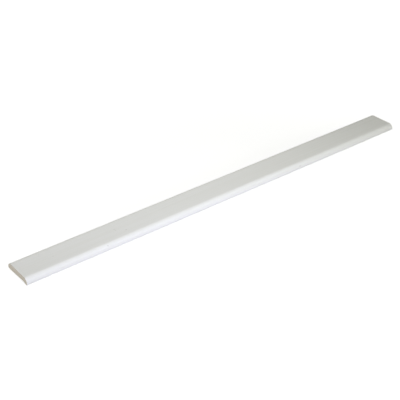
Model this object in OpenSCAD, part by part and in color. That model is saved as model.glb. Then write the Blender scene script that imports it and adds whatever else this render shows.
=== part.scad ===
// Edge fillet trim: one cut length of white extruded PVC-U strip.
// It is a single piece with the same section from end to end and two square cuts.
// Millimetres. X runs along the strip, Y across it from the rounded front to the
// heel, and Z up. The origin is on the floor, under the middle of the strip.

/* [Strip] */
// Length between the two square cuts
strip_length = 550; // [50:10:5000]
// Width across the strip, from its front face to its heel
strip_width = 40; // [24:1:90]
// Thickness from the floor to the flat top
strip_thickness = 8; // [5:0.1:14]

/* [Front edge] */
// Radius of the big quarter round between the front face and the top
nose_radius = 5.5; // [1:0.1:10]
// Radius of the small rounding under the front face
lip_radius = 1.2; // [0.2:0.1:1.8]
// Width of the front lip, from the front face to the foot's inner edge
lip_width = 4; // [2:0.1:6]

/* [Back edge] */
// Radius of the rounding between the top and the back
back_radius = 6.5; // [1:0.1:10]
// Radius of the small rounding under the back
heel_radius = 1.5; // [0.2:0.1:1.8]
// Width of the heel, from the back to the start of the hollow underside
heel_width = 2.5; // [2:0.1:6]

/* [Underside] */
// Depth of the hollow underside, where it is deepest behind the lip
hollow_depth = 1.3; // [0.1:0.1:3]
// Width of the ramp from the foot of the lip up to that depth
ramp_width = 3.2; // [0.5:0.1:6]

/* [Hidden] */

// Segments of a full circle
$fn = 96;

// How far a corner cutter reaches outside the section
overcut = 1;

// The roundings above and below share the thickness, so the upper one gives way
nose_r = min(nose_radius, strip_thickness - lip_radius);
back_r = min(back_radius, strip_thickness - heel_radius);

// Corner points of the section, as [across, up], from the front face at 0
section_corners = [
    [0, 0],
    [lip_width, 0],
    [lip_width + ramp_width, hollow_depth],
    [strip_width - heel_width, 0],
    [strip_width, 0],
    [strip_width, strip_thickness],
    [0, strip_thickness],
];

// Waste outside a rounding of radius r, for a corner at the origin with its material
// towards +X and +Y
module corner_waste(r) {
    difference() {
        translate([-overcut, -overcut])
            square(r + overcut);
        translate([r, r])
            circle(r);
    }
}

// Sharp section with its four long edges rounded
module rounded_section() {
    difference() {
        polygon(section_corners);
        corner_waste(lip_radius);
        translate([0, strip_thickness])
            mirror([0, 1])
                corner_waste(nose_r);
        translate([strip_width, 0])
            mirror([1, 0])
                corner_waste(heel_radius);
        translate([strip_width, strip_thickness])
            rotate(180)
                corner_waste(back_r);
    }
}

// The whole strip, lying on its lip and its heel
module fillet_strip() {
    color([0.93, 0.93, 0.92])
        rotate([90, 0, 90])
            linear_extrude(height = strip_length, center = true)
                translate([-strip_width / 2, 0])
                    rounded_section();
}

fillet_strip();
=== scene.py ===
import math

import bmesh
import bpy
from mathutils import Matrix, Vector


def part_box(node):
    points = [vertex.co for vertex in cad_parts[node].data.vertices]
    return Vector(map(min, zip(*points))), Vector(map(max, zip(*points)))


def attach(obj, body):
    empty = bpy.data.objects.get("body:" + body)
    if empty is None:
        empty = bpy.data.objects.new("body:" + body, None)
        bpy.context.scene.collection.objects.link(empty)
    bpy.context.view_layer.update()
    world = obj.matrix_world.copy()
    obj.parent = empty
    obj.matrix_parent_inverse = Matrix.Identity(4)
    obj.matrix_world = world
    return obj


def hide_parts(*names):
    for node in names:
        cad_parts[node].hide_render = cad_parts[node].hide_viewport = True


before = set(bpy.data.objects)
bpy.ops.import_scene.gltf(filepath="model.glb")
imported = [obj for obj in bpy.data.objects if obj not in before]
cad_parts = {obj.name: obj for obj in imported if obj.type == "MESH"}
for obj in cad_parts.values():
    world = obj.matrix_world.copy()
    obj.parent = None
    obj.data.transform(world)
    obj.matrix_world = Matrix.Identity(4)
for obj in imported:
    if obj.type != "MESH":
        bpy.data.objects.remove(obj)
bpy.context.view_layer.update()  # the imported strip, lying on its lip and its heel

mm = 0.001
sameSpot = 0.01 * mm  # two places nearer to each other than this are one
print("frame loaded:", ", ".join(sorted(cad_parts)))


def linear(hexColour):  # an sRGB hex colour as the linear one that shaders take
    parts = [int(hexColour[i:i + 2], 16) / 255 for i in (1, 3, 5)]
    return [p / 12.92 if p <= 0.04045 else ((p + 0.055) / 1.055) ** 2.4 for p in parts] + [1.0]


def addNode(tree, kind, inputs=None, **settings):  # one node with its settings, values and links
    node = tree.nodes.new(kind)
    for name, value in settings.items():
        setattr(node, name, value)
    for socket, value in (inputs or {}).items():
        if isinstance(value, bpy.types.NodeSocket):
            tree.links.new(value, node.inputs[socket])
        else:
            node.inputs[socket].default_value = value
    return node


def emptyMaterial(name):
    material = bpy.data.materials.new(name)
    material.use_nodes = True
    material.node_tree.nodes.clear()
    return material


# Edit mode helpers: what is worked on is picked by its place

def middle(element):
    return sum((v.co for v in element.verts), Vector()) / len(element.verts)


def near(a, b):
    return abs(a - b) < sameSpot


def pick(kind, test):  # selects only the vertices, edges or faces that pass the test
    bpy.ops.mesh.select_mode(type={"verts": "VERT", "edges": "EDGE", "faces": "FACE"}[kind])
    bpy.ops.mesh.select_all(action="DESELECT")
    mesh = bmesh.from_edit_mesh(bpy.context.object.data)
    for element in getattr(mesh, kind):
        if test(element):
            element.select_set(True)
    bmesh.update_edit_mesh(bpy.context.object.data)


def weld():  # joins points that a bevel left on top of each other
    bpy.ops.mesh.select_all(action="SELECT")
    bpy.ops.mesh.remove_doubles(threshold=sameSpot)
    bpy.ops.mesh.dissolve_degenerate(threshold=sameSpot)


def sortFaces(start):  # by place, as the bevels leave some in an order that changes from run to run
    mesh = bmesh.from_edit_mesh(bpy.context.object.data)
    mesh.faces.sort(key=lambda f: (middle(f) - Vector(start)).length)
    bmesh.update_edit_mesh(bpy.context.object.data)


# The strip: a box cut to the extrusion's section, as long as the CAD strip

edgeFillet = {
    "sizes": {  # mm, widths are measured inwards from the front face or the heel
        "noseRadius": 5.5,
        "lipRadius": 1.2,
        "backRadius": 6.5,
        "heelRadius": 1.5,
        "lipWidth": 4.0,
        "rampWidth": 3.2,
        "hollowDepth": 1.3,
        "heelWidth": 2.5,
        "undersideEase": 0.3,  # the die leaves no sharp corner under the strip
        "arris": 0.09,         # what the saw leaves of the sharp edge round each cut
        "chord": 0.36,         # length of each short face round a radius
        "longEdge": 100.0,     # an edge longer than this runs along the strip
    },
    "fewestFaces": 3,    # round the smallest radius
    "arrisFaces": 2,
    "flatFold": 0.5,     # degrees, a flatter fold is taken out
    "roundFold": 35,     # degrees, a sharper fold is shaded as an edge
    "endFacing": 0.9,    # a face that looks more than this along the strip is sawn
    "firstFaceFrom": (-1, -0.6, -0.3),  # metres, a point outside the strip where its faces start to count
}


def roundEdge(s, y, z, radius):  # rounds the long edge at y, z, where s holds the sizes in metres
    def longEdgeThere(e):
        return near(middle(e).y, y) and near(middle(e).z, z) and e.calc_length() > s["longEdge"]

    pick("edges", longEdgeThere)
    steps = max(edgeFillet["fewestFaces"], round(radius * math.pi / 2 / s["chord"]))
    bpy.ops.mesh.bevel(offset_type="OFFSET", offset=radius, segments=steps, clamp_overlap=False)


def pvcStrip():
    s = {name: value * mm for name, value in edgeFillet["sizes"].items()}
    low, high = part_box("fillet_strip")
    front, back, bottom, top = low.y, high.y, low.z, high.z
    bpy.ops.object.select_all(action="DESELECT")
    bpy.ops.mesh.primitive_cube_add(size=1, location=(low + high) / 2, scale=high - low)
    strip = bpy.context.object
    strip.name = "pvcEdgeFillet"
    bpy.ops.object.transform_apply(location=True, rotation=True, scale=True)
    bpy.ops.object.mode_set(mode="EDIT")

    # the hollow underside: three cuts along the strip, then the end of the ramp is raised
    lipEnd = front + s["lipWidth"]
    rampEnd = lipEnd + s["rampWidth"]
    heelStart = back - s["heelWidth"]
    for y in (lipEnd, rampEnd, heelStart):
        bpy.ops.mesh.select_all(action="SELECT")
        bpy.ops.mesh.bisect(plane_co=(0, y, 0), plane_no=(0, 1, 0))
    pick("verts", lambda v: near(v.co.y, rampEnd) and near(v.co.z, bottom))
    bpy.ops.transform.translate(value=(0, 0, s["hollowDepth"]))
    bpy.ops.mesh.select_all(action="SELECT")
    bpy.ops.mesh.dissolve_limited(angle_limit=math.radians(edgeFillet["flatFold"]))

    # the four long edges, and the three soft corners of the underside
    roundEdge(s, front, top, s["noseRadius"])
    roundEdge(s, front, bottom, s["lipRadius"])
    roundEdge(s, back, top, s["backRadius"])
    roundEdge(s, back, bottom, s["heelRadius"])
    roundEdge(s, lipEnd, bottom, s["undersideEase"])
    roundEdge(s, rampEnd, bottom + s["hollowDepth"], s["undersideEase"])
    roundEdge(s, heelStart, bottom, s["undersideEase"])
    weld()

    # the two sawn ends
    pick("edges", lambda e: all(near(abs(v.co.x), high.x) for v in e.verts))
    bpy.ops.mesh.bevel(
        offset_type="OFFSET", offset=s["arris"], segments=edgeFillet["arrisFaces"], clamp_overlap=True)
    weld()
    sortFaces(edgeFillet["firstFaceFrom"])
    strip.data.materials.append(extrudedSkin())
    strip.data.materials.append(sawnEnd())
    pick("faces", lambda f: abs(f.normal.x) > edgeFillet["endFacing"])
    strip.active_material_index = 1
    bpy.ops.object.material_slot_assign()
    bpy.ops.object.mode_set(mode="OBJECT")

    bpy.ops.object.shade_smooth_by_angle(angle=math.radians(edgeFillet["roundFold"]))
    bpy.ops.object.modifier_add(type="WEIGHTED_NORMAL")
    strip.modifiers[-1].keep_sharp = True
    bpy.ops.object.modifier_apply(modifier=strip.modifiers[-1].name)

    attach(strip, "root")
    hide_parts("fillet_strip")
    print("strip:", len(strip.data.polygons), "faces")


# Foamed PVC-U, extruded through a cooled calibrator: a white with a soft satin sheen, faint
# tone lines that run with the extrusion, the least orange peel, and a few dust pits

skinLook = {
    "white": "#efefec",
    "toneLine": "#edede9",
    "toneBand": (0.35, 0.7),     # the noise at which a tone line starts and is full
    "roughness": (0.54, 0.62),   # along the smooth lines and between them
    "roughBand": (0.3, 0.7),     # the noise at which each of them is reached
    "ior": 1.53,                 # rigid PVC
    "toneLength": 180.0,         # mm, how far a tone line runs
    "toneWidth": 2.4,            # mm, drawn wider than the real die lines so that they show
    "dieWidth": 0.7,             # mm, the fine die lines
    "dieRelief": 0.003,          # mm
    "lineDetail": 2.0,           # finer lines inside both
    "lineFade": 0.55,            # how strong the finer lines are
    "peel": 1.8,                 # mm, orange peel from wave to wave
    "peelDetail": 1.0,
    "peelRelief": 0.0025,        # mm
    "pit": "#8f8e86",
    "pitDepth": 0.05,            # mm
    "pitSlope": (1.0, 0.5),      # radii, from a pit's rim to its floor
    "pitsReach": 9.0,            # radii, what counts as far from every pit
    "pits": (                    # mm in the strip's frame: x, y, z, radius
        (-176.3, -18.6, 6.1, 0.55),
        (-145.0, -7.2, 8.0, 0.50),
        (-155.2, 1.2, 8.0, 0.40),
        (-154.9, -1.4, 8.0, 0.36),
        (105.3, -19.6, 4.5, 0.50),
        (-233.5, -1.5, 8.0, 0.32),
        (-244.3, 10.2, 8.0, 0.30),
    ),
}


def extrudedSkin():
    look = skinLook
    material = emptyMaterial("extrudedFoamedPvc")
    tree = material.node_tree
    place = addNode(tree, "ShaderNodeTexCoord").outputs["Object"]

    # tone lines and die lines, both far longer than they are wide
    lines = []
    for width in (look["toneWidth"], look["dieWidth"]):
        drawn = addNode(tree, "ShaderNodeMapping", {
            "Vector": place,
            "Scale": (1 / (look["toneLength"] * mm), 1 / (width * mm), 1 / (width * mm)),
        })
        noise = addNode(tree, "ShaderNodeTexNoise", {
            "Vector": drawn.outputs[0],
            "Scale": 1.0,
            "Detail": look["lineDetail"],
            "Roughness": look["lineFade"],
        })
        lines.append(noise.outputs["Fac"])
    toneLines, dieLines = lines
    lineStart, lineFull = look["toneBand"]
    tone = addNode(tree, "ShaderNodeMapRange", {
        "Value": toneLines, "From Min": lineStart, "From Max": lineFull}, interpolation_type="SMOOTHSTEP")
    white = addNode(tree, "ShaderNodeMix", {
        0: tone.outputs[0], 6: linear(look["white"]), 7: linear(look["toneLine"])}, data_type="RGBA")

    # pits: how far each point lies from the nearest one, in radii
    nearest = look["pitsReach"]
    for *centre, radius in look["pits"]:
        away = addNode(tree, "ShaderNodeVectorMath", {
            0: place, 1: [c * mm for c in centre]}, operation="DISTANCE")
        inRadii = addNode(tree, "ShaderNodeMath", {
            0: away.outputs["Value"], 1: radius * mm}, operation="DIVIDE")
        nearest = addNode(tree, "ShaderNodeMath", {
            0: inRadii.outputs[0], 1: nearest}, operation="MINIMUM").outputs[0]
    rim, pitFloor = look["pitSlope"]
    inPit = addNode(tree, "ShaderNodeMapRange", {
        "Value": nearest, "From Min": rim, "From Max": pitFloor}, interpolation_type="SMOOTHSTEP")
    colour = addNode(tree, "ShaderNodeMix", {
        0: inPit.outputs[0], 6: white.outputs[2], 7: linear(look["pit"])}, data_type="RGBA")

    # relief in metres: orange peel, die lines and pits added up
    peel = addNode(tree, "ShaderNodeTexNoise", {
        "Vector": place, "Scale": 1 / (look["peel"] * mm), "Detail": look["peelDetail"]})
    height = addNode(tree, "ShaderNodeMath", {
        0: peel.outputs["Fac"], 1: look["peelRelief"] * mm}, operation="MULTIPLY")
    height = addNode(tree, "ShaderNodeMath", {
        0: dieLines, 1: look["dieRelief"] * mm, 2: height.outputs[0]}, operation="MULTIPLY_ADD")
    height = addNode(tree, "ShaderNodeMath", {
        0: inPit.outputs[0], 1: -look["pitDepth"] * mm, 2: height.outputs[0]}, operation="MULTIPLY_ADD")
    bump = addNode(tree, "ShaderNodeBump", {"Strength": 1.0, "Distance": 1.0, "Height": height.outputs[0]})

    smooth, dull = look["roughness"]
    roughStart, roughEnd = look["roughBand"]
    roughness = addNode(tree, "ShaderNodeMapRange", {
        "Value": toneLines, "From Min": roughStart, "From Max": roughEnd, "To Min": smooth, "To Max": dull})
    shader = addNode(tree, "ShaderNodeBsdfPrincipled", {
        "Base Color": colour.outputs[2],
        "Roughness": roughness.outputs[0],
        "IOR": look["ior"],
        "Normal": bump.outputs[0],
    })
    addNode(tree, "ShaderNodeOutputMaterial", {"Surface": shader.outputs[0]})
    return material


# The same foamed PVC-U where the saw went through: matt and creamier than the skin, with
# cut cells and the faint arcs of the blade, both with painted shade in their hollows

sawnLook = {
    "cream": "#e3dcd0",
    # painted shade: the darker cream in the grooves of the blade marks
    "shade": "#d8d0c3",
    # painted shade: the dark inside of the cut cells' holes
    "cellShade": "#a99f90",
    "roughness": 0.8,
    "ior": 1.53,                 # rigid PVC
    "cellSize": 0.45,            # mm, real cells are 0.1 to 0.2 mm, drawn coarser so that they show
    "cellOpen": (0.3, 0.15),     # shares of a cell's width, where its hole starts and is full
    "cellDepth": 0.06,           # mm
    "patch": 3.5,                # mm, patches whose cells are more open or less so
    "patchDetail": 2.0,
    "patchBand": (0.35, 0.6),    # the noise at which a patch is least and most open
    "patchOpen": (0.25, 1.0),    # how open its cells are there
    "markStep": 1.3,             # mm between two blade marks
    "markRelief": 0.012,         # mm
    "markWaver": 1.2,            # how far the marks stray from true arcs
    "markDetail": 2.0,
    "markDetailScale": 0.4,
    "bladeCentre": (0, 45.0, 115.0),  # mm, where the blade's axle passed
}


def sawnEnd():
    look = sawnLook
    material = emptyMaterial("sawnFoamedPvc")
    tree = material.node_tree
    place = addNode(tree, "ShaderNodeTexCoord").outputs["Object"]

    # arcs round the blade's axle, the same at every depth along the strip
    fromAxle = addNode(tree, "ShaderNodeVectorMath", {
        0: place, 1: [c * mm for c in look["bladeCentre"]]}, operation="SUBTRACT")
    inPlane = addNode(tree, "ShaderNodeVectorMath", {
        0: fromAxle.outputs[0], 1: (0, 1, 1)}, operation="MULTIPLY")
    marks = addNode(tree, "ShaderNodeTexWave", {
        "Vector": inPlane.outputs[0],
        "Scale": math.pi / (10 * look["markStep"] * mm),  # the wave turns once in pi / 10 units
        "Distortion": look["markWaver"],
        "Detail": look["markDetail"],
        "Detail Scale": look["markDetailScale"],
    }, wave_type="RINGS", rings_direction="X")

    # cut cells, more open in some patches than in others; their holes are sunk and get painted shade
    cells = addNode(tree, "ShaderNodeTexVoronoi", {
        "Vector": place, "Scale": 1 / (look["cellSize"] * mm), "Randomness": 1.0})
    holeStart, holeFull = look["cellOpen"]
    cellHoleAndShade = addNode(tree, "ShaderNodeMapRange", {
        "Value": cells.outputs["Distance"],
        "From Min": holeStart, "From Max": holeFull,
    }, interpolation_type="SMOOTHSTEP")
    patches = addNode(tree, "ShaderNodeTexNoise", {
        "Vector": place, "Scale": 1 / (look["patch"] * mm), "Detail": look["patchDetail"]})
    patchStart, patchEnd = look["patchBand"]
    leastOpen, mostOpen = look["patchOpen"]
    patchy = addNode(tree, "ShaderNodeMapRange", {
        "Value": patches.outputs["Fac"],
        "From Min": patchStart, "From Max": patchEnd,
        "To Min": leastOpen, "To Max": mostOpen,
    })
    holeAndShade = addNode(tree, "ShaderNodeMath", {
        0: cellHoleAndShade.outputs[0], 1: patchy.outputs[0]}, operation="MULTIPLY")

    # painted shade: the blade marks coloured darker where their grooves are deepest
    shaded = addNode(tree, "ShaderNodeMix", {
        0: marks.outputs["Fac"], 6: linear(look["cream"]), 7: linear(look["shade"])}, data_type="RGBA")
    # painted shade: the cell holes coloured dark where the bump sinks them
    colour = addNode(tree, "ShaderNodeMix", {
        0: holeAndShade.outputs[0], 6: shaded.outputs[2], 7: linear(look["cellShade"])}, data_type="RGBA")
    height = addNode(tree, "ShaderNodeMath", {
        0: marks.outputs["Fac"], 1: -look["markRelief"] * mm}, operation="MULTIPLY")
    height = addNode(tree, "ShaderNodeMath", {
        0: holeAndShade.outputs[0], 1: -look["cellDepth"] * mm, 2: height.outputs[0]}, operation="MULTIPLY_ADD")
    bump = addNode(tree, "ShaderNodeBump", {"Strength": 1.0, "Distance": 1.0, "Height": height.outputs[0]})
    shader = addNode(tree, "ShaderNodeBsdfPrincipled", {
        "Base Color": colour.outputs[2],
        "Roughness": look["roughness"],
        "IOR": look["ior"],
        "Normal": bump.outputs[0],
    })
    addNode(tree, "ShaderNodeOutputMaterial", {"Surface": shader.outputs[0]})
    return material


# Camera, at the height and angle of the photograph's

cameraPlace = {
    "position": (-0.5803, -0.6903, 0.5523),   # metres
    "heading": -38.235,  # degrees from +Y
    "pitch": 32.131,     # degrees below level
    "lens": 79.91,       # mm
    "sensor": 36,        # mm
}


def setCamera():
    data = bpy.data.cameras.new("photoCamera")
    data.sensor_width = cameraPlace["sensor"]
    data.lens = cameraPlace["lens"]
    camera = bpy.data.objects.new("photoCamera", data)
    camera.location = cameraPlace["position"]
    tilt = math.radians(90 - cameraPlace["pitch"])
    camera.rotation_euler = (tilt, 0, math.radians(cameraPlace["heading"]))
    bpy.context.scene.collection.objects.link(camera)
    bpy.context.scene.camera = camera
    print("camera set")


# Studio: a pale floor, a white surround, and soft boxes above, before, beside and behind the strip

studio = {
    "floor": "#b3b3b1",
    "floorSize": 12,             # metres
    "floorDrop": 0.02,           # mm below the strip, so that the two don't share a plane
    "floorLift": (0.72, 1.0),    # brings the floor up to white, less so by the strip, to keep its shadow
    "liftReach": (0.1, 0.5),     # metres from the strip's middle, from the one lift to the other
    "ambient": "#fffccb",
    "ambientStrength": 0.04,
    "surround": "#ffffff",
}

softBoxes = {  # place and aim in metres, size across and up in metres, power in watts
    "topBox": {"place": (-0.07, 0.02, 0.5), "aim": (-0.07, 0, 0), "size": (0.5, 0.5),
               "power": 1.71, "colour": "#fcfdff"},
    "frontBox": {"place": (-0.1, -0.6, 0.1), "aim": (-0.1, 0, 0), "size": (0.4, 0.15),
                 "power": 2.6, "colour": "#dfe1ff"},
    "rightFrontBox": {"place": (0.25, -0.6, 0.25), "aim": (0.2, 0, 0), "size": (0.3, 0.3),
                      "power": 0.71, "colour": "#ffffb4"},
    "leftFrontBox": {"place": (-0.6, -0.45, 0.1), "aim": (-0.25, 0, 0), "size": (0.3, 0.15),
                     "power": 0.43, "colour": "#ffffde"},
    "leftBox": {"place": (-0.8, 0.05, 0.14), "aim": (-0.275, 0, 0), "size": (0.3, 0.2),
                "power": 1.21, "colour": "#fdfcff"},
    "rightFill": {"place": (0.8, 0.02, 0.022), "aim": (0.275, 0, 0.01), "size": (0.4, 0.035),
                  "power": 0.5, "colour": "#ffffff"},
    "rearFill": {"place": (0.1, 0.9, 0.35), "aim": (0, 0, 0), "size": (0.6, 0.4),
                 "power": 0.3, "colour": "#ffffff"},
}


def seenDirectly(tree):  # 1 where the camera, a reflection or a look through glass meets the surface
    rays = addNode(tree, "ShaderNodeLightPath")
    seen = addNode(tree, "ShaderNodeMath", {
        0: rays.outputs["Is Camera Ray"], 1: rays.outputs["Is Glossy Ray"]}, operation="MAXIMUM")
    return addNode(tree, "ShaderNodeMath", {
        0: seen.outputs[0], 1: rays.outputs["Is Transmission Ray"]}, operation="MAXIMUM").outputs[0]


def setFloor():
    bpy.ops.object.select_all(action="DESELECT")
    bpy.ops.mesh.primitive_plane_add(
        size=studio["floorSize"], location=(0, 0, -studio["floorDrop"] * mm))
    floor = bpy.context.object
    floor.name = "paleFloor"
    material = emptyMaterial("paleFloor")
    tree = material.node_tree

    # a pale matt floor that takes the shadow, and a glow on it that shows but lights nothing matt
    place = addNode(tree, "ShaderNodeTexCoord").outputs["Object"]
    away = addNode(tree, "ShaderNodeVectorMath", {0: place}, operation="LENGTH")
    byStrip, farOff = studio["floorLift"]
    reachStart, reachEnd = studio["liftReach"]
    strength = addNode(tree, "ShaderNodeMapRange", {
        "Value": away.outputs["Value"],
        "From Min": reachStart, "From Max": reachEnd,
        "To Min": byStrip, "To Max": farOff,
    }, interpolation_type="SMOOTHSTEP")
    lift = addNode(tree, "ShaderNodeMath", {
        0: seenDirectly(tree), 1: strength.outputs[0]}, operation="MULTIPLY")
    pale = addNode(tree, "ShaderNodeBsdfDiffuse", {"Color": linear(studio["floor"])})
    glow = addNode(tree, "ShaderNodeEmission", {
        "Color": linear(studio["surround"]), "Strength": lift.outputs[0]})
    both = addNode(tree, "ShaderNodeAddShader", {0: pale.outputs[0], 1: glow.outputs[0]})
    addNode(tree, "ShaderNodeOutputMaterial", {"Surface": both.outputs[0]})
    floor.data.materials.append(material)
    print("floor set")


def setSurround():
    world = bpy.data.worlds.new("whiteSurround")
    world.use_nodes = True
    tree = world.node_tree
    tree.nodes.clear()
    bpy.context.scene.world = world
    ambient = addNode(tree, "ShaderNodeBackground", {
        "Color": linear(studio["ambient"]), "Strength": studio["ambientStrength"]})
    white = addNode(tree, "ShaderNodeBackground", {"Color": linear(studio["surround"]), "Strength": 1.0})
    mixed = addNode(tree, "ShaderNodeMixShader", {
        0: seenDirectly(tree), 1: ambient.outputs[0], 2: white.outputs[0]})
    addNode(tree, "ShaderNodeOutputWorld", {"Surface": mixed.outputs[0]})
    print("surround set")


def setSoftBoxes():
    for name, box in softBoxes.items():
        data = bpy.data.lights.new(name, "AREA")
        data.shape = "RECTANGLE"
        data.size, data.size_y = box["size"]
        data.energy = box["power"]
        data.color = linear(box["colour"])[:3]
        lamp = bpy.data.objects.new(name, data)
        lamp.location = box["place"]
        direction = Vector(box["aim"]) - Vector(box["place"])
        lamp.rotation_euler = direction.to_track_quat("-Z", "Y").to_euler()
        bpy.context.scene.collection.objects.link(lamp)
    print("soft boxes set:", len(softBoxes))


setCamera()
pvcStrip()
setFloor()
setSurround()
setSoftBoxes()
bpy.context.scene.view_settings.view_transform = "Standard"
